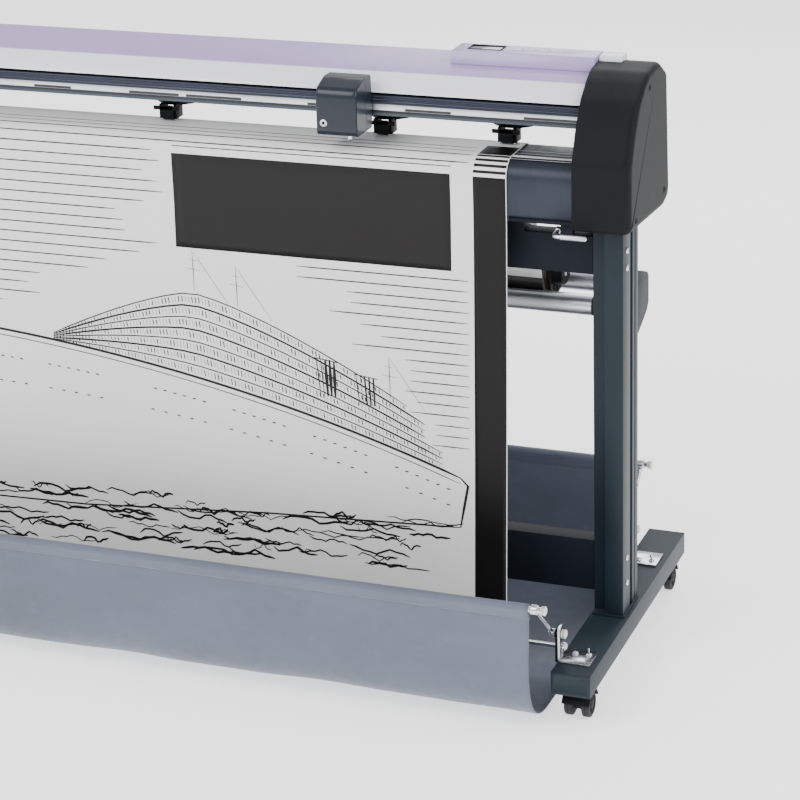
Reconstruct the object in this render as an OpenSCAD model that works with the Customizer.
// Roll-fed vinyl cutting plotter on a castered stand with a cloth media basket.
// X runs along the machine, +X to the right as seen from the front; the front faces -Y; Z is up.
// The origin is at the middle of the floor footprint.

/* [Overall] */
// Width over the two end covers
machine_w = 2050; // [1700:10:2600]
// Length of each foot, front to rear, with its end caps
foot_len = 670; // [570:5:810]
// Height of the platen's top face above the floor
platen_z = 1004; // [880:1:1200]

/* [Stand] */
// Width of a foot tube
foot_w = 75; // [62:1:90]
// Height of a foot tube
foot_h = 45; // [38:1:54]
// Wall of the foot and column tubes
tube_t = 3; // [2:0.5:4]
// How far the end covers stand out past the feet
cover_over = 10; // [4:1:14]
// How far the column stands in from the foot's outer face
column_inset = 10; // [4:1:14]
// Depth of a column, front to rear
column_d = 100; // [84:1:120]
// How far the column's inner strip is set back
column_step = 28; // [20:1:34]
// Depth of the two cross beams
beam_d = 40; // [34:1:48]
// Height of the lower cross beam
lower_beam_h = 104; // [86:1:124]
// Height of the lower cross beam's underside above the floor
lower_beam_z = 150; // [140:1:180]
// Height of the upper cross beam
upper_beam_h = 73; // [60:1:88]

/* [Casters] */
// Radius of a caster wheel
wheel_r = 25; // [20:1:30]
// Width of one wheel of the twin pair
wheel_w = 17; // [14:1:18]
// Offset of the axle behind the kingpin
caster_trail = 14; // [10:1:16]

/* [Basket] */
// Radius of the basket's front and rear rods
basket_rod_r = 6; // [5:0.5:7]
// Radius of the pivot pins
pivot_rod_r = 5; // [4:0.5:6]
// How far the front rod stands ahead of its pivot
basket_reach = 107; // [90:1:128]
// How far a rod stands above its pivot
basket_rise = 96; // [80:1:112]
// Clearance of the cloth's lowest part above the floor
cloth_floor = 8; // [6:1:20]
// Thickness of the cloth solid
cloth_t = 3; // [2:0.5:4]

/* [Roll feed] */
// Radius of a roll bar
bar_r = 20; // [16:1:24]
// Distance between the two roll bars
bar_gap = 135; // [124:1:150]
// Radius of the loaded media roll
roll_r = 60; // [54:1:72]
// Width of the loaded media
sheet_w = 1600; // [1300:10:1700]
// Thickness of the media solid
sheet_t = 1.2; // [1:0.1:1.4]

/* [Head] */
// Length of one end cover along the machine
cover_w = 109; // [100:1:131]
// Radius of the platen's front bend
bend_r = 35; // [29:1:42]
// Height of the platen box
platen_h = 111; // [92:1:130]
// Clear height between the platen and the head bar
throat_h = 50; // [46:1:60]
// Radius of a grit roller
grit_r = 13; // [11:0.5:15]
// Radius of a pinch roller
pinch_r = 9; // [7.5:0.5:10]

/* [Carriage] */
// Width of the cutting carriage
carriage_w = 80; // [67:1:96]
// Place of the carriage along the machine
carriage_x = 475; // [-700:5:700]
// Radius of the cutter pen
pen_r = 5.75; // [4.8:0.05:6.9]

/* [Panel] */
// Length of the raised operation panel
panel_len = 275; // [230:1:330]
// Side of a key
key_w = 12; // [10:1:14]

/* [Hidden] */
$fn = 48;

// Clearances: a turning fit, a close gap between separate pieces, a soft piece's gap
fit_gap = 0.05;
slip = 0.3;
soft_gap = 0.8;

// Places across the machine
cover_x1 = machine_w / 2;
cover_x0 = cover_x1 - cover_w;
foot_x1 = cover_x1 - cover_over;
foot_x0 = foot_x1 - foot_w;
column_x1 = foot_x1 - column_inset;
column_x0 = foot_x0;
strip_w = (column_x1 - column_x0) * 0.45;

// Places along the foot; the front rod's sleeve stands ahead of the foot's front end
hem_r = basket_rod_r + 5;
rod_over = 59;
foot_y0 = -(foot_len + rod_over + hem_r) / 2 + rod_over + hem_r;
foot_y1 = foot_y0 + foot_len;
cap_t = 2;
column_y0 = -48;
column_y1 = column_y0 + column_d;
beam_y0 = column_y0 + column_step;
beam_y1 = beam_y0 + beam_d;

// Heights
swivel_h = 42;
foot_z0 = wheel_r + swivel_h;
foot_z1 = foot_z0 + foot_h;
platen_z0 = platen_z - platen_h;
riser_h = 33;
upper_beam_z1 = platen_z0 - riser_h;
upper_beam_z0 = upper_beam_z1 - upper_beam_h;
column_drop = 19;
column_z1 = platen_z - column_drop;
bar_z0 = platen_z + throat_h;

// Casters
kingpin_r = 5;
axle_r = 4;
twin_gap = 8;
hood_gap = 2;
hood_t = 3;
caster_x = foot_x1 - foot_w / 2;
caster_front_y = foot_y0 + 46;
caster_rear_y = foot_y1 - 52;

// Basket
pivot_z = foot_z1 + 56;
tie_z = foot_z1 + 31;
front_rod_y = foot_y0 - rod_over;
front_pivot_y = front_rod_y + basket_reach;
rear_rod_y = foot_y1 - 25;
rear_pivot_y = rear_rod_y - basket_reach;
rod_z = pivot_z + basket_rise;
cloth_x = foot_x0 - 21;
arm_x = foot_x0 - 10;
arm_r = 4;
cloth_top_z = rod_z - hem_r - 0.4;
cloth_mid_y = (front_rod_y + rear_rod_y) / 2;
cloth_half = (rear_rod_y - front_rod_y) / 2 - 2;
sling_bend = 0.32;

// Roll feed
bar_front_y = 125;
bar_rear_y = bar_front_y + bar_gap;
bar_z = platen_z - 329;
stay_t = 8;
bar_pin_r = 8;
roll_y = (bar_front_y + bar_rear_y) / 2;
roll_z = bar_z + sqrt(pow(roll_r + bar_r, 2) - pow(bar_gap / 2, 2));
core_r0 = 38;
core_r1 = 41;
sheet_x1 = cover_x0 - 123;
sheet_x0 = sheet_x1 - sheet_w;

// Platen and feed
platen_y0 = -70;
platen_y1 = 62;
platen_wall = 4;
rear_r = 10;
cut_y = -28;
feed_y = 40;
pinch_x = [for (share = [0.958, 0.649, 0.09, -0.479, -0.984]) share * sheet_x1];
grit_z = platen_z + slip - grit_r;
grit_shaft_r = 6;
shaft_gear_r = 20;
feed_motor_y = feed_y + 96;
feed_motor_z = grit_z + 74;
feed_motor_half = 25;
motor_shaft_r = 3;
motor_pulley_r = 9;
sheet_z0 = platen_z + soft_gap;
sheet_z1 = sheet_z0 + sheet_t;
pinch_z = sheet_z1 + slip + pinch_r;
pinch_shaft_y = 95;
pinch_shaft_z = platen_z + 34;
pinch_shaft_r = 5;
pinch_half = 38;
roller_pin_r = 3;
lever_y = -60;
lever_z = platen_z0 - 13;
lever_x0 = cover_x0 - 32;
lever_pin_r = 4;

// Head bar, with its front face at y = 0
bar_y1 = 136;
rail_y = -8;
rail_z0 = bar_z0 + 25;
rail_z1 = bar_z0 + 41;
strip_z0 = rail_z1 + 4;
belt_z0 = bar_z0 + 47;
belt_h = 7;
pulley_r = 10;
pulley_x = cover_x0 - 26;
pulley_y = 20;
motor_side = 34;
cover_front_z = strip_z0 + 33;
cover_back_z = platen_z + 148;

// Carriage
base_y0 = -19;
base_y1 = -8.5;
carriage_y0 = -95;
carriage_z0 = platen_z + 32;
carriage_z1 = platen_z + 132;
holder_gap = 0.3;

// End cover side outline, as (y, z) points, going round from the front foot of the cover
cover_outline = [
    for (p = [
        [-72, -121], [-72, 4], [-46, 62], [-14, 108], [24, 136], [52, 149], [109, 153],
        [134, 149], [180, 121], [199, -106], [190, -124], [158, -134]
    ]) [p[0], platen_z + p[1]]
];
cover_mid = [64, platen_z + 8];
cover_half = [
    max([for (p = cover_outline) abs(p[0] - cover_mid[0])]),
    max([for (p = cover_outline) abs(p[1] - cover_mid[1])])
];
cover_wall = 3;
plate_t = 8;
inlet_y = [96, 144];
inlet_z = [platen_z - 60, platen_z - 33];

// Panel
panel_x1 = cover_x0 - 1;
panel_x0 = panel_x1 - panel_len;
panel_y0 = 56;
panel_y1 = 142;
panel_z1 = platen_z + 162;
key_travel = 1.5;
key_y = 110;
key_step = 26;
lcd_x0 = panel_x0 + 28;

// Helpers: a (y, z) outline drawn out along X, a box between corners, and round bars
module along_x(x0, x1) {
    translate([x0, 0, 0]) rotate([90, 0, 90]) linear_extrude(height = x1 - x0) children();
}

module block(x, y, z) {
    translate([x[0], y[0], z[0]]) cube([x[1] - x[0], y[1] - y[0], z[1] - z[0]]);
}

module bar_x(x, y, z, r) {
    translate([x[0], y, z]) rotate([0, 90, 0]) cylinder(r = r, h = x[1] - x[0]);
}

module bar_up(x, y, z, r) {
    translate([x, y, z[0]]) cylinder(r = r, h = z[1] - z[0]);
}

module both_sides() {
    children();
    mirror([1, 0, 0]) children();
}

// An arc of (y, z) points about a centre
function arc(c, r, a0, a1, n) = [
    for (i = [0:n]) let (a = a0 + (a1 - a0) * i / n) [c[0] + r * cos(a), c[1] + r * sin(a)]
];

function reversed(p) = [for (i = [len(p) - 1:-1:0]) p[i]];

// Points drawn towards a centre, which gives an outline with an even wall
function drawn_in(p, c, wall, half) = [
    for (q = p) [
        c[0] + (q[0] - c[0]) * (1 - wall / half[0]),
        c[1] + (q[1] - c[1]) * (1 - wall / half[1])
    ]
];

// ---------------------------------------------------------------- stand

module foot() {
    difference() {
        block([foot_x0, foot_x1], [foot_y0 + cap_t, foot_y1 - cap_t], [foot_z0, foot_z1]);
        block([foot_x0 + tube_t, foot_x1 - tube_t], [foot_y0 - 1, foot_y1 + 1],
              [foot_z0 + tube_t, foot_z1 - tube_t]);
        for (y = [caster_front_y, caster_rear_y])
            bar_up(caster_x, y, [foot_z0 - 1, foot_z0 + tube_t + 1], kingpin_r + fit_gap);
    }
}

module foot_right() { color("#38444c") foot(); }

module foot_left() { color("#38444c") mirror([1, 0, 0]) foot(); }

module foot_end_cap(y0, y_plug) {
    inset = tube_t + slip;
    block([foot_x0, foot_x1], [y0, y0 + cap_t], [foot_z0, foot_z1]);
    block([foot_x0 + inset, foot_x1 - inset], y_plug, [foot_z0 + inset, foot_z1 - inset]);
}

module foot_end_caps() {
    color("#20282e") both_sides() {
        foot_end_cap(foot_y0, [foot_y0 + cap_t, foot_y0 + cap_t + 10]);
        foot_end_cap(foot_y1 - cap_t, [foot_y1 - cap_t - 10, foot_y1 - cap_t]);
    }
}

module column() {
    groove_d = 4;
    difference() {
        union() {
            block([column_x0 + strip_w, column_x1], [column_y0, column_y1], [foot_z1, column_z1]);
            block([column_x0, column_x0 + strip_w + 1], [beam_y0, column_y1], [foot_z1, column_z1]);
        }
        block([column_x0 + strip_w + tube_t, column_x1 - tube_t - groove_d],
              [column_y0 + tube_t, column_y1 - tube_t], [foot_z1 - 1, column_z1 + 1]);
        block([column_x1 - groove_d, column_x1 + 1], [column_y0 + 48, column_y0 + 62],
              [foot_z1 - 1, column_z1 + 1]);
        block([column_x1 - groove_d / 2, column_x1 + 1], [column_y0 + 76, column_y0 + 80],
              [foot_z1 - 1, column_z1 + 1]);
    }
}

module column_right() { color("#2c3942") column(); }

module column_left() { color("#2c3942") mirror([1, 0, 0]) column(); }

module hollow_beam(z0, z1) {
    difference() {
        block([-column_x0, column_x0], [beam_y0, beam_y1], [z0, z1]);
        block([-column_x0 - 1, column_x0 + 1], [beam_y0 + tube_t, beam_y1 - tube_t],
              [z0 + tube_t, z1 - tube_t]);
    }
}

module lower_beam() {
    color("#101b24") hollow_beam(lower_beam_z, lower_beam_z + lower_beam_h);
}

module upper_beam() {
    riser_w = 60;
    color("#101b24") {
        hollow_beam(upper_beam_z0, upper_beam_z1);
        for (s = [-0.85, -0.28, 0.28, 0.85])
            block([s * cover_x0 - riser_w / 2, s * cover_x0 + riser_w / 2],
                  [beam_y0, beam_y1], [upper_beam_z1, platen_z0]);
    }
}

module frame_bolts() {
    head_r = 6;
    color("silver") both_sides() {
        for (z = [lower_beam_z + 26, lower_beam_z + lower_beam_h - 26, upper_beam_z0 + 20,
                  upper_beam_z1 - 20])
            bar_x([column_x1, column_x1 + 4], column_y0 + 25, z, head_r);
        for (y = [front_pivot_y + 30, rear_pivot_y - 30], x = [foot_x0 + 24, foot_x0 + 50])
            bar_up(x, y, [foot_z1 + 4, foot_z1 + 11], head_r);
    }
}

// ---------------------------------------------------------------- casters

// The housing turns on its kingpin in the foot; its axle carries the twin wheels
module caster(y) {
    axle_y = y + caster_trail;
    hood_r = wheel_r + hood_gap + hood_t;
    half_w = twin_gap + wheel_w + hood_gap;
    disc_z0 = min(foot_z0 - 12, wheel_r + hood_r - 2);
    color("#15181b") translate([caster_x, 0, 0]) {
        bar_up(0, y, [disc_z0, foot_z0 + 9], kingpin_r);
        bar_up(0, y, [disc_z0, foot_z0 - 0.5], 17);
        bar_x([-half_w + hood_gap, half_w - hood_gap], axle_y, wheel_r, axle_r);
        bar_x([-twin_gap + 2, twin_gap - 2], axle_y, wheel_r, axle_r + 8);
        block([-twin_gap + 2, twin_gap - 2], [axle_y - 12, axle_y + 12], [wheel_r, wheel_r + hood_r - 2]);
        difference() {
            bar_x([-half_w, half_w], axle_y, wheel_r, hood_r);
            bar_x([-half_w - 1, half_w + 1], axle_y, wheel_r, wheel_r + hood_gap);
            block([-half_w - 1, half_w + 1], [axle_y - 60, axle_y + 60], [-60, wheel_r + 8]);
        }
    }
}

module caster_wheels(y) {
    axle_y = y + caster_trail;
    color("#101214") translate([caster_x, 0, 0]) difference() {
        union() {
            bar_x([-twin_gap - wheel_w, -twin_gap], axle_y, wheel_r, wheel_r);
            bar_x([twin_gap, twin_gap + wheel_w], axle_y, wheel_r, wheel_r);
        }
        bar_x([-60, 60], axle_y, wheel_r, axle_r + fit_gap);
    }
}

module caster_fr() { caster(caster_front_y); }

module caster_fl() { mirror([1, 0, 0]) caster(caster_front_y); }

module caster_rr() { caster(caster_rear_y); }

module caster_rl() { mirror([1, 0, 0]) caster(caster_rear_y); }

module wheels_fr() { caster_wheels(caster_front_y); }

module wheels_fl() { mirror([1, 0, 0]) caster_wheels(caster_front_y); }

module wheels_rr() { caster_wheels(caster_rear_y); }

module wheels_rl() { mirror([1, 0, 0]) caster_wheels(caster_rear_y); }

// ---------------------------------------------------------------- basket

// Plate on the foot with its upright; holes lists the heights of the bores in the upright
module basket_bracket(pivot_y, inward, holes) {
    upright_t = 4;
    plate_end = pivot_y + inward * 46;
    difference() {
        union() {
            block([foot_x0 + 2, foot_x1 - 12], [min(pivot_y - 11, plate_end), max(pivot_y + 11, plate_end)],
                  [foot_z1, foot_z1 + 4]);
            block([foot_x0 + 2, foot_x0 + 2 + upright_t], [pivot_y - 11, pivot_y + 11],
                  [foot_z1, pivot_z + 15]);
        }
        for (z = holes) bar_x([foot_x0, foot_x0 + 10], pivot_y, z, pivot_rod_r + fit_gap);
    }
}

// Rod across the machine between the front brackets, with its end caps
module tie_rod() {
    bar_x([-foot_x0 - 10, foot_x0 + 10], front_pivot_y, tie_z, pivot_rod_r);
    both_sides() bar_x([foot_x0 + 7, foot_x0 + 14], front_pivot_y, tie_z, pivot_rod_r + 2.5);
}

module basket_brackets() {
    color("#b9bec2") {
        both_sides() {
            basket_bracket(front_pivot_y, 1, [tie_z, pivot_z]);
            basket_bracket(rear_pivot_y, -1, [pivot_z]);
        }
        tie_rod();
    }
}

// Two leaning arms on short pivot pins, the rod that carries the cloth, and its end knobs
module basket_frame(pivot_y, rod_y) {
    lean = atan2(rod_y - pivot_y, rod_z - pivot_z);
    arm_len = norm([rod_y - pivot_y, rod_z - pivot_z]);
    rod_end = foot_x0 + 4;
    color("#c9cdd0") {
        bar_x([-rod_end, rod_end], rod_y, rod_z, basket_rod_r);
        both_sides() {
            translate([arm_x, pivot_y, pivot_z]) rotate([-lean, 0, 0]) cylinder(r = arm_r, h = arm_len);
            bar_x([rod_end - 8, rod_end + 2], rod_y, rod_z, basket_rod_r + 3);
            bar_x([arm_x - 8, foot_x0 + 10], pivot_y, pivot_z, pivot_rod_r);
            bar_x([foot_x0 + 7, foot_x0 + 14], pivot_y, pivot_z, pivot_rod_r + 3);
        }
    }
}

module front_basket_frame() { basket_frame(front_pivot_y, front_rod_y); }

module rear_basket_frame() { basket_frame(rear_pivot_y, rear_rod_y); }

// The sleeve sewn round a rod
module hem(rod_y) {
    color("#707888") difference() {
        bar_x([-cloth_x, cloth_x], rod_y, rod_z, hem_r);
        bar_x([-cloth_x - 1, cloth_x + 1], rod_y, rod_z, basket_rod_r + slip);
    }
}

module front_hem() { hem(front_rod_y); }

module rear_hem() { hem(rear_rod_y); }

// The sling hangs steeply from both rods and lies nearly flat along the floor
function sling(half, drop) = [
    for (a = [0:7.5:180]) [
        cloth_mid_y - half * sign(cos(a)) * pow(abs(cos(a)), sling_bend),
        cloth_top_z - drop * pow(abs(sin(a)), sling_bend)
    ]
];

module basket_cloth() {
    drop = cloth_top_z - cloth_floor;
    color("#707888") along_x(-cloth_x, cloth_x) polygon(concat(
        sling(cloth_half, drop), reversed(sling(cloth_half - cloth_t, drop - cloth_t))));
}

// ---------------------------------------------------------------- roll feed

module roll_stay() {
    y0 = beam_y0 + 30;
    y1 = bar_rear_y + 100;
    top = bar_z + 20;
    difference() {
        along_x(column_x0 - stay_t, column_x0) polygon([
            [y0, top - 90], [y0, top], [y1 - 70, top], [y1 - 8, top - 22], [y1, top - 34], [y1, top - 88],
            [y1 - 14, top - 102], [y1 - 55, top - 120], [y1 - 80, top - 130], [y0 + 70, top - 130]]);
        for (y = [bar_front_y, bar_rear_y])
            bar_x([column_x0 - stay_t - 1, column_x0 + 1], y, bar_z, bar_pin_r + fit_gap);
    }
}

module roll_stays() { color("#1b2229") both_sides() roll_stay(); }

module roll_bar(y) {
    body_x = column_x0 - stay_t - 0.5;
    color("#c4c8cc") {
        bar_x([-body_x, body_x], y, bar_z, bar_r);
        bar_x([-column_x0 + 1, column_x0 - 1], y, bar_z, bar_pin_r);
    }
}

module roll_bar_front() { roll_bar(bar_front_y); }

module roll_bar_rear() { roll_bar(bar_rear_y); }

module media_roll() {
    color("#1c1a1c") difference() {
        bar_x([sheet_x0, sheet_x1], roll_y, roll_z, roll_r - slip);
        bar_x([sheet_x0 - 1, sheet_x1 + 1], roll_y, roll_z, core_r1);
    }
}

module roll_flange(x, way) {
    disc_r = 50;
    disc = [x, x + way * 8];
    hub = [x + way * 8, x + way * 26];
    plug = [x - way * 24, x];
    bar_x([min(disc), max(disc)], roll_y, roll_z, disc_r);
    bar_x([min(hub), max(hub)], roll_y, roll_z, 30);
    bar_x([min(plug), max(plug)], roll_y, roll_z, core_r0 - slip);
}

module roll_core() {
    color("#8a6f50") difference() {
        bar_x([sheet_x0 - 4, sheet_x1 + 4], roll_y, roll_z, core_r1);
        bar_x([sheet_x0 - 5, sheet_x1 + 5], roll_y, roll_z, core_r0);
    }
    color("#24282c") {
        roll_flange(sheet_x1 + 4, 1);
        roll_flange(sheet_x0 - 4, -1);
    }
}

// The media rises from the roll, runs over the platen and hangs down into the basket
function sheet_line(off, front) = concat(
    [[roll_y - roll_r - soft_gap / 2 - off, roll_z]],
    arc([platen_y1 - rear_r, platen_z - rear_r], rear_r + soft_gap + front, 0, 90, 6),
    arc([platen_y0 + bend_r, platen_z - bend_r], bend_r + soft_gap + front, 90, 180, 10),
    [[platen_y0 - soft_gap - front, platen_z0 - 10], [platen_y0 - 44 - front, cloth_floor + 22]]
);

module media_sheet() {
    color("#d9d8d5") along_x(sheet_x0, sheet_x1)
        polygon(concat(sheet_line(sheet_t, 0), reversed(sheet_line(0, sheet_t))));
}

// ---------------------------------------------------------------- platen and feed

module platen_section(wall) {
    y0 = platen_y0 + wall;
    y1 = platen_y1 - wall;
    z0 = platen_z0 + wall;
    z1 = platen_z - wall;
    translate([platen_y0 + bend_r, platen_z - bend_r]) circle(r = bend_r - wall);
    translate([platen_y1 - rear_r, platen_z - rear_r]) circle(r = rear_r - wall);
    translate([y0, z0]) square([y1 - y0, platen_z - bend_r - z0]);
    translate([platen_y0 + bend_r, z0]) square([platen_y1 - rear_r - platen_y0 - bend_r, z1 - z0]);
    translate([platen_y1 - rear_r - 1, z0]) square([y1 - platen_y1 + rear_r + 1, platen_z - rear_r - z0]);
}

module platen() {
    slot_w = 36;
    color("#3c4650") difference() {
        along_x(-cover_x0, cover_x0) platen_section(0);
        along_x(-cover_x0 - 1, cover_x0 + 1) platen_section(platen_wall);
        for (x = pinch_x)
            block([x - slot_w / 2, x + slot_w / 2], [feed_y - grit_r - 1, feed_y + grit_r + 1],
                  [platen_z - platen_wall - 1, platen_z + 1]);
        block([-cover_x0 - 1, cover_x0 + 1], [cut_y - 6, cut_y + 6], [platen_z - 2, platen_z + 1]);
    }
}

module cutting_strip() {
    color("#e6e6e2") block([-cover_x0, cover_x0], [cut_y - 6, cut_y + 6], [platen_z - 2, platen_z]);
}

module grit_shaft() {
    color("#aeb2b5") {
        bar_x([-cover_x0 - 12, cover_x0 + 24], feed_y, grit_z, grit_shaft_r);
        for (x = pinch_x) bar_x([x - 16, x + 16], feed_y, grit_z, grit_r);
        bar_x([cover_x0 + 11, cover_x0 + 20], feed_y, grit_z, shaft_gear_r);
    }
}

module motor_pulley() {
    color("#c9b58a") difference() {
        bar_x([cover_x0 + 11, cover_x0 + 20], feed_motor_y, feed_motor_z, motor_pulley_r);
        bar_x([cover_x0, cover_x0 + 30], feed_motor_y, feed_motor_z, motor_shaft_r + fit_gap);
    }
}

// Side view of a belt loop round two pulleys, grown outwards by a thickness
module belt_outline(a, ra, b, rb, grow) {
    hull() {
        translate(a) circle(r = ra + grow, $fn = 32);
        translate(b) circle(r = rb + grow, $fn = 32);
    }
}

module feed_belt() {
    a = [feed_y, grit_z];
    b = [feed_motor_y, feed_motor_z];
    color("#1a1a1a") along_x(cover_x0 + 12, cover_x0 + 19) difference() {
        belt_outline(a, shaft_gear_r, b, motor_pulley_r, 1.8);
        belt_outline(a, shaft_gear_r, b, motor_pulley_r, 0.4);
    }
}

module drive_motors() {
    screw_step = 20;
    color("#4a4d50") {
        block([cover_x0 + 26, cover_x0 + 74],
            [feed_motor_y - feed_motor_half, feed_motor_y + feed_motor_half],
              [feed_motor_z - feed_motor_half, feed_motor_z + feed_motor_half]);
        bar_x([cover_x0 + 10, cover_x0 + 27], feed_motor_y, feed_motor_z, motor_shaft_r);
        for (y = [-1, 1], z = [-1, 1])
            bar_x([cover_x0 + plate_t, cover_x0 + 27], feed_motor_y + y * screw_step,
                  feed_motor_z + z * screw_step, 3);
        block([pulley_x - motor_side / 2, pulley_x + motor_side / 2],
              [pulley_y - 15, pulley_y + 19], [bar_z0 + 5, rail_z1 - 4]);
        bar_up(pulley_x, pulley_y, [rail_z1 - 5, belt_z0 + belt_h], motor_shaft_r);
    }
}

// ---------------------------------------------------------------- head bar

module head_bar() {
    outer = [
        [0, bar_z0], [bar_y1, bar_z0], [bar_y1, bar_z0 + 82], [72, bar_z0 + 70],
        [42, bar_z0 + 62], [42, rail_z1], [0, rail_z1]
    ];
    inner = [
        [4, bar_z0 + 4], [bar_y1 - 4, bar_z0 + 4], [bar_y1 - 4, bar_z0 + 77], [73, bar_z0 + 66],
        [46, bar_z0 + 58], [46, rail_z1 - 4], [4, rail_z1 - 4]
    ];
    color("#3a434c") {
        difference() {
            along_x(-cover_x0, cover_x0) polygon(outer);
            along_x(-cover_x0 - 1, cover_x0 + 1) polygon(inner);
            bar_up(pulley_x, pulley_y, [rail_z1 - 5, rail_z1 + 1], 4);
        }
        bar_up(-pulley_x, pulley_y, [rail_z1 - 1, belt_z0 + belt_h], motor_shaft_r);
    }
}

module guide_rail() {
    color("#30363f") block([-cover_x0, cover_x0], [rail_y, 0], [rail_z0, rail_z1]);
}

module scale_strip() {
    color("#b8bdc4") block([-cover_x0, cover_x0], [-2, 0], [bar_z0 + 11, bar_z0 + 23]);
}

module front_strip() {
    color("#f0f0f4") along_x(-cover_x0, cover_x0) polygon([
        [-6, strip_z0], [-2, strip_z0], [-2, strip_z0 + 2], [27, strip_z0 + 30],
        [25, strip_z0 + 33], [-6, strip_z0 + 3]
    ]);
}

module top_cover() {
    t = 3;
    color("#c2b4d6") along_x(-cover_x0, cover_x0) polygon([
        [27, cover_front_z - t], [25.4, cover_front_z + 0.2], [72, cover_front_z + 9],
        [132, cover_back_z], [bar_y1 + t, cover_back_z - 3], [bar_y1 + t, bar_z0 + 8],
        [bar_y1, bar_z0 + 8], [bar_y1, cover_back_z - 6], [131, cover_back_z - t],
        [73, cover_front_z + 9 - t]
    ]);
}

module panel_housing() {
    floor_z = cover_front_z + 9;
    slope = (cover_back_z - floor_z) / 60;
    color("#c2b4d6") difference() {
        along_x(panel_x0, panel_x1) polygon([
            [panel_y0 + 16, floor_z + 0.1], [132, cover_back_z + 0.1],
            [bar_y1 + 3.1, cover_back_z - 2.8], [bar_y1 + 3.1, cover_back_z - 16],
            [panel_y1, cover_back_z - 16], [panel_y1, panel_z1 - 6], [panel_y1 - 6, panel_z1],
            [panel_y0 + 26, panel_z1], [panel_y0 + 16, floor_z + 4 + slope]
        ]);
        block([lcd_x0 - 1, lcd_x0 + 61], [96, 126], [panel_z1 - 2, panel_z1 + 1]);
        for (i = [0:3]) key_space(i);
    }
}

module lcd_window() {
    color("#1d2422") block([lcd_x0 - 0.8, lcd_x0 + 60.8], [96.2, 125.8], [panel_z1 - 2, panel_z1]);
}

function key_x(i) = lcd_x0 + 92 + i * key_step;

module key_space(i) {
    half = key_w / 2 + slip;
    block([key_x(i) - half, key_x(i) + half], [key_y - half, key_y + half], [panel_z1 - 7, panel_z1 + 1]);
}

module key(i) {
    half = key_w / 2;
    color("#e9e7ee") block([key_x(i) - half, key_x(i) + half], [key_y - half, key_y + half],
                           [panel_z1 - 5, panel_z1 + 1.4]);
}

module key_menu() { key(0); }

module key_up() { key(1); }

module key_down() { key(2); }

module key_enter() { key(3); }

// ---------------------------------------------------------------- pinch rollers

module pinch_shaft() {
    color("#8e9296") bar_x([-cover_x0 - 6, cover_x0 + 6], pinch_shaft_y, pinch_shaft_z, pinch_shaft_r);
}

// One arm: a wide hub on the shaft, a tapering web and two prongs that hold the roller's pin
module pinch_arm(x) {
    web_z = [pinch_shaft_z - 6, pinch_shaft_z - 1];
    prong_y = [feed_y - 5, feed_y + 24];
    translate([x, 0, 0]) difference() {
        union() {
            bar_x([-pinch_half, pinch_half], pinch_shaft_y, pinch_shaft_z, 9);
            translate([0, 0, web_z[0]]) linear_extrude(height = web_z[1] - web_z[0]) polygon([
                [-pinch_half, pinch_shaft_y], [pinch_half, pinch_shaft_y],
                [pinch_half, feed_y + 32], [18, feed_y + 14], [18, feed_y + 12],
                [-18, feed_y + 12], [-18, feed_y + 14], [-pinch_half, feed_y + 32]
            ]);
            for (s = [-1, 1])
                block([min(s * 12, s * 18), max(s * 12, s * 18)], prong_y,
                      [pinch_z - 6, web_z[1]]);
            bar_x([-15, 15], feed_y, pinch_z, roller_pin_r);
        }
        bar_x([-pinch_half - 1, pinch_half + 1], pinch_shaft_y, pinch_shaft_z, pinch_shaft_r);
    }
}

module pinch_arms() { color("#20262c") for (x = pinch_x) pinch_arm(x); }

module pinch_rollers() {
    color("#34302e") for (x = pinch_x) translate([x, 0, 0]) difference() {
        bar_x([-11, 11], feed_y, pinch_z, pinch_r);
        bar_x([-12, 12], feed_y, pinch_z, roller_pin_r + fit_gap);
    }
}

module clamp_lever() {
    grip_y = lever_y - 38;
    color("#c9cdd0") {
        bar_x([lever_x0, cover_x0 - 1], lever_y, lever_z, lever_pin_r);
        bar_x([lever_x0, lever_x0 + 8], lever_y, lever_z, 7.5);
        block([lever_x0, lever_x0 + 8], [grip_y, lever_y], [lever_z - 4, lever_z + 4]);
        bar_x([lever_x0, lever_x0 + 68], grip_y, lever_z, 5);
    }
}

// ---------------------------------------------------------------- carriage

// Plate with an upper tongue over the rail, which clamps the belt, and a lower lip under it
module carriage_base() {
    half = carriage_w / 2 - 3;
    tongue_z = [rail_z1 + slip, rail_z1 + slip + 3];
    color("#2d3740") translate([carriage_x, 0, 0]) {
        block([-half, half], [base_y0, base_y1], [platen_z + 44, carriage_z1 - 5]);
        block([-half, half], [base_y1 - 1, 6], tongue_z);
        block([-half / 2, half / 2], [6.5, 9], [tongue_z[0], belt_z0 + belt_h]);
        block([-half / 2, half / 2], [5, 9], tongue_z);
        block([-half, half], [base_y1 - 1, -2.5], [rail_z0 - slip - 3, rail_z0 - slip]);
    }
}

module carriage_cover() {
    half = carriage_w / 2;
    wall = 2.5;
    y1 = base_y0;
    outer = [
        [y1, carriage_z0], [y1, carriage_z1], [y1 - 36, carriage_z1], [carriage_y0 + 6, carriage_z1 - 12],
        [carriage_y0, carriage_z1 - 24], [carriage_y0, carriage_z0 + 10], [carriage_y0 + 8, carriage_z0]
    ];
    inner = [
        [y1 + 1, carriage_z0 - 1], [y1 + 1, carriage_z1 - wall], [y1 - 35.5, carriage_z1 - wall],
        [carriage_y0 + 8, carriage_z1 - 14], [carriage_y0 + wall, carriage_z1 - 24.5],
        [carriage_y0 + wall, carriage_z0 + 10], [carriage_y0 + 8 + wall, carriage_z0 - 1]
    ];
    color("#2d3740") translate([carriage_x, 0, 0]) difference() {
        along_x(-half, half) polygon(outer);
        along_x(-half + wall, half - wall) polygon(inner);
    }
}

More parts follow.
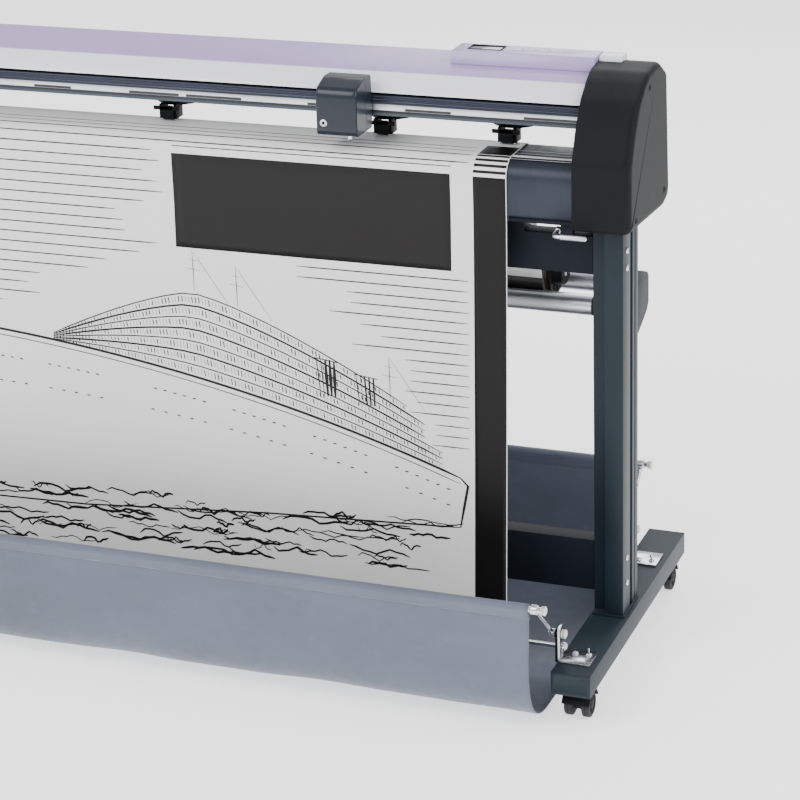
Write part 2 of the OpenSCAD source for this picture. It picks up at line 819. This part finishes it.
module tool_holder() {
    top = carriage_z0 + 38;
    color("#9a9fa4") translate([carriage_x, 0, 0]) difference() {
        block([-13, 13], [cut_y - 10, base_y0 - holder_gap], [carriage_z0 + 4, top]);
        bar_up(0, cut_y, [carriage_z0, top + 1], pen_r + fit_gap);
    }
}

module cutter_pen() {
    tip_z = sheet_z1 + 3;
    color("#b0b4b8") translate([carriage_x, cut_y, 0]) {
        translate([0, 0, tip_z + 5]) cylinder(r = pen_r, h = carriage_z0 + 50 - tip_z - 5);
        translate([0, 0, tip_z]) cylinder(r1 = 1, r2 = pen_r - 1, h = 5);
    }
}

module carriage_belt() {
    run = pulley_x;
    color("#17181a") difference() {
        union() {
            block([-run, run], [pulley_y - pulley_r - 1, pulley_y + pulley_r + 1],
                  [belt_z0, belt_z0 + belt_h]);
            for (s = [-1, 1]) bar_up(s * run, pulley_y, [belt_z0, belt_z0 + belt_h], pulley_r + 1);
        }
        for (s = [-1, 1]) bar_up(s * run, pulley_y, [belt_z0 - 1, belt_z0 + belt_h + 1], pulley_r + 0.2);
        block([-run, run], [pulley_y - pulley_r - 0.2, pulley_y + pulley_r + 0.2],
              [belt_z0 - 1, belt_z0 + belt_h + 1]);
    }
}

module belt_pulley(x) {
    difference() {
        bar_up(x, pulley_y, [belt_z0 - 1, belt_z0 + belt_h], pulley_r);
        bar_up(x, pulley_y, [belt_z0 - 2, belt_z0 + belt_h + 1], motor_shaft_r + fit_gap);
    }
}

module drive_pulley() { color("#c9b58a") belt_pulley(pulley_x); }

module idler_pulley() { color("#c9b58a") belt_pulley(-pulley_x); }

// ---------------------------------------------------------------- ends

module cover_shell() {
    hole_gap = 1;
    difference() {
        along_x(cover_x0, cover_x1) polygon(cover_outline);
        along_x(cover_x0 - 1, cover_x1 - cover_wall)
            polygon(drawn_in(cover_outline, cover_mid, cover_wall + 0.5, cover_half));
        block([column_x0 - hole_gap, column_x1 + hole_gap], [column_y0 - hole_gap, column_y1 + hole_gap],
              [platen_z - 150, platen_z - 100]);
    }
}

module end_cover_right() { color("#212121") cover_shell(); }

module end_cover_left() {
    color("#212121") difference() {
        mirror([1, 0, 0]) cover_shell();
        block([-cover_x1 - 1, -cover_x1 + cover_wall + 1], inlet_y, inlet_z);
    }
}

module end_frame() {
    difference() {
        union() {
            along_x(cover_x0, cover_x0 + plate_t)
                polygon(drawn_in(cover_outline, cover_mid, cover_wall + 0.9, cover_half));
            block([cover_x0 + plate_t - 1, column_x1 - 4], [column_y0 + 5, column_y0 + 56],
                  [column_z1, column_z1 + 8]);
        }
        bar_x([cover_x0 - 1, cover_x0 + plate_t + 1], feed_y, grit_z, grit_shaft_r + fit_gap);
        bar_x([cover_x0 - 1, cover_x0 + plate_t + 1], pinch_shaft_y, pinch_shaft_z, pinch_shaft_r + fit_gap);
        block([column_x0 - 1, column_x1 + 1], [column_y0 - 1, column_y1 + 1], [platen_z - 200, column_z1]);
    }
}

// The boss under the platen's right end that carries the clamp lever's pin
module lever_boss() {
    difference() {
        union() {
            bar_x([cover_x0 - 22, cover_x0], lever_y, lever_z, 8);
            block([cover_x0 - 22, cover_x0], [lever_y - 8, lever_y + 8], [lever_z, platen_z0]);
        }
        bar_x([cover_x0 - 23, cover_x0 + 1], lever_y, lever_z, lever_pin_r + fit_gap);
    }
}

module end_frames() {
    color("#2a3036") {
        both_sides() end_frame();
        lever_boss();
    }
}

module power_inlet() {
    gap = 0.1;
    depth = 22;
    color("#121212") difference() {
        block([-cover_x1, -cover_x1 + depth], [inlet_y[0] + gap, inlet_y[1] - gap],
              [inlet_z[0] + gap, inlet_z[1] - gap]);
        block([-cover_x1 - 1, -cover_x1 + 16], [inlet_y[0] + 12, inlet_y[1] - 12],
              [inlet_z[0] + 5, inlet_z[1] - 5]);
    }
}

// ---------------------------------------------------------------- nodes

foot_right();
foot_left();
foot_end_caps();
column_right();
column_left();
lower_beam();
upper_beam();
frame_bolts();
caster_fr();
caster_fl();
caster_rr();
caster_rl();
wheels_fr();
wheels_fl();
wheels_rr();
wheels_rl();
basket_brackets();
front_basket_frame();
rear_basket_frame();
basket_cloth();
front_hem();
rear_hem();
roll_stays();
roll_bar_front();
roll_bar_rear();
media_roll();
roll_core();
media_sheet();
platen();
cutting_strip();
grit_shaft();
motor_pulley();
feed_belt();
drive_motors();
head_bar();
guide_rail();
scale_strip();
front_strip();
top_cover();
panel_housing();
lcd_window();
key_menu();
key_up();
key_down();
key_enter();
pinch_shaft();
pinch_arms();
pinch_rollers();
clamp_lever();
carriage_base();
carriage_cover();
tool_holder();
cutter_pen();
carriage_belt();
drive_pulley();
idler_pulley();
end_cover_right();
end_cover_left();
end_frames();
power_inlet();
